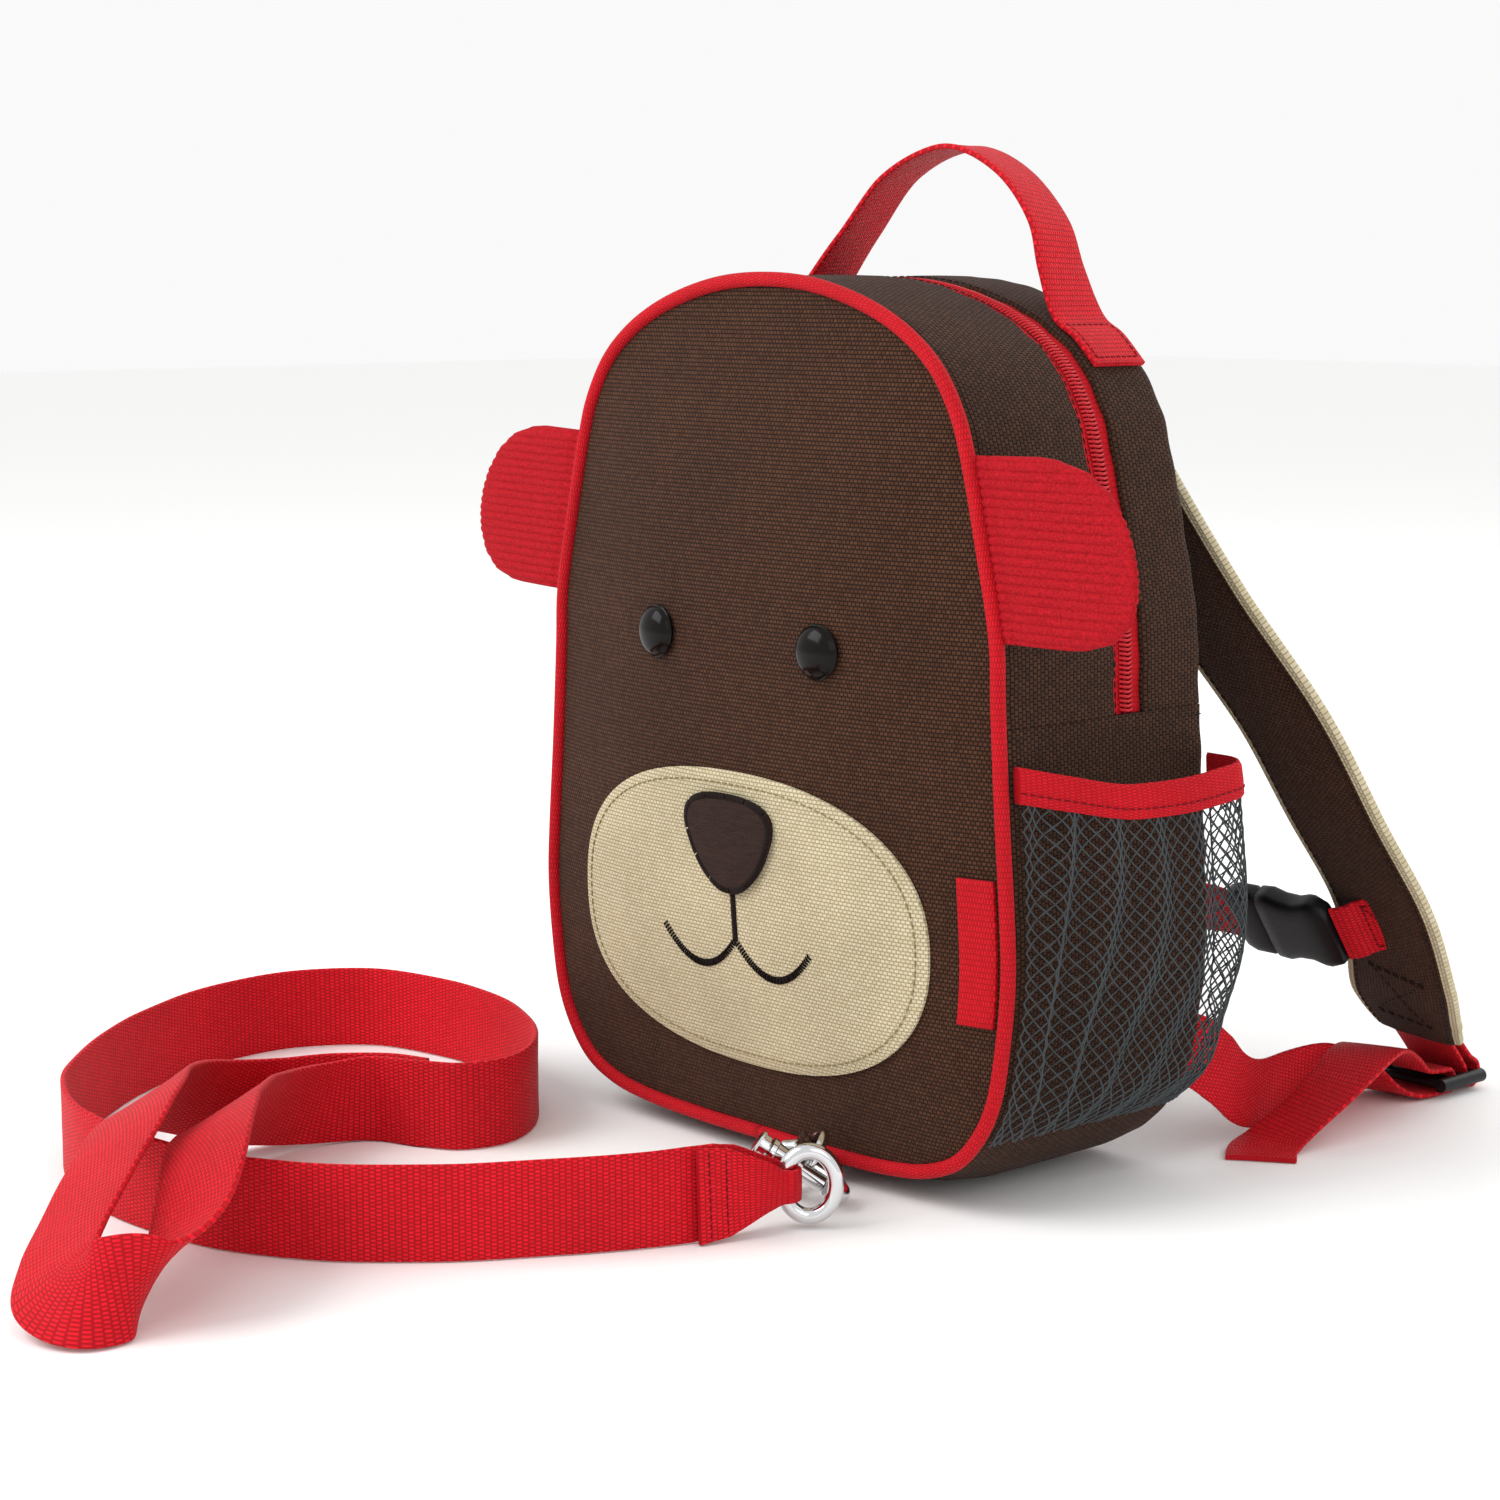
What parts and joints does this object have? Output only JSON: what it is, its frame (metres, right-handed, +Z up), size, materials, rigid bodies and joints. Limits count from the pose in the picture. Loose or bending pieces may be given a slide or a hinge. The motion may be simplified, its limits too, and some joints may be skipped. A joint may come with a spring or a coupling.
{
  "type": "toddler harness backpack",
  "caption": "Small child's rounded backpack with a bear-like face, ear tabs, mesh side pockets, padded straps with a chest buckle, and a webbing leash clipped under its front.",
  "frame": {"origin": "middle of the flat base, on the floor", "axes": "+X to the right as seen from the front, -Y towards the front, +Z up"},
  "size_m": [0.3328, 0.4497, 0.2831],
  "materials": {
    "brown_polyester": "woven, matte",
    "cream_canvas": "basket weave, matte",
    "dark_brown_felt": "matte",
    "red_piping": "cord covered with tape",
    "red_binding": "woven tape",
    "red_webbing": "ribbed weave, slight sheen",
    "red_ribbed_cord": "ribbed pile",
    "red_zipper": "tape with a plastic coil",
    "grey_net": "knitted net",
    "black_plastic": "satin",
    "glossy_eye_plastic": "gloss",
    "nickel_plating": "bright plating"
  },
  "bodies": {
    "bag": {"front_panel": "brown_polyester", "back_panel": "brown_polyester", "front_piping": "red_piping", "front_gusset": "brown_polyester", "zipper": "red_zipper", "rear_gusset": "brown_polyester", "lower_gusset": "brown_polyester", "zipper_slider": "nickel_plating", "muzzle_patch": "cream_canvas", "nose_patch": "dark_brown_felt", "eye_cap_left": "glossy_eye_plastic", "eye_cap_right": "glossy_eye_plastic", "ear_left": "red_ribbed_cord", "ear_right": "red_ribbed_cord", "label_tab": "red_webbing", "top_handle": "red_webbing", "pocket_net_left": "grey_net", "pocket_net_right": "grey_net", "pocket_binding_left": "red_binding", "pocket_binding_right": "red_binding", "shoulder_strap_left": "brown_polyester", "shoulder_strap_right": "brown_polyester", "tip_web_left": "red_webbing", "tip_web_right": "red_webbing", "ladder_lock_left": "black_plastic", "ladder_lock_right": "black_plastic", "adjuster_web_left": "red_webbing", "adjuster_web_right": "red_webbing", "chest_buckle_socket": "black_plastic", "chest_buckle_prong": "black_plastic", "chest_web_right": "red_webbing", "chest_web_left": "red_webbing", "leash_web": "red_webbing", "snap_hook": "nickel_plating", "anchor_ring": "nickel_plating", "anchor_tab": "brown_polyester"},
    "bolt": {"snap_bolt": "nickel_plating"}
  },
  "joints": [
    {"name": "bolt_slide", "type": "slide", "parent": "bag", "child": "bolt", "axis": [-0.5512, -0.6192, 0.5593], "range_m": [0, 0.005], "stiffness_N_per_m": 150, "springref_m": -0.002}
  ]
}
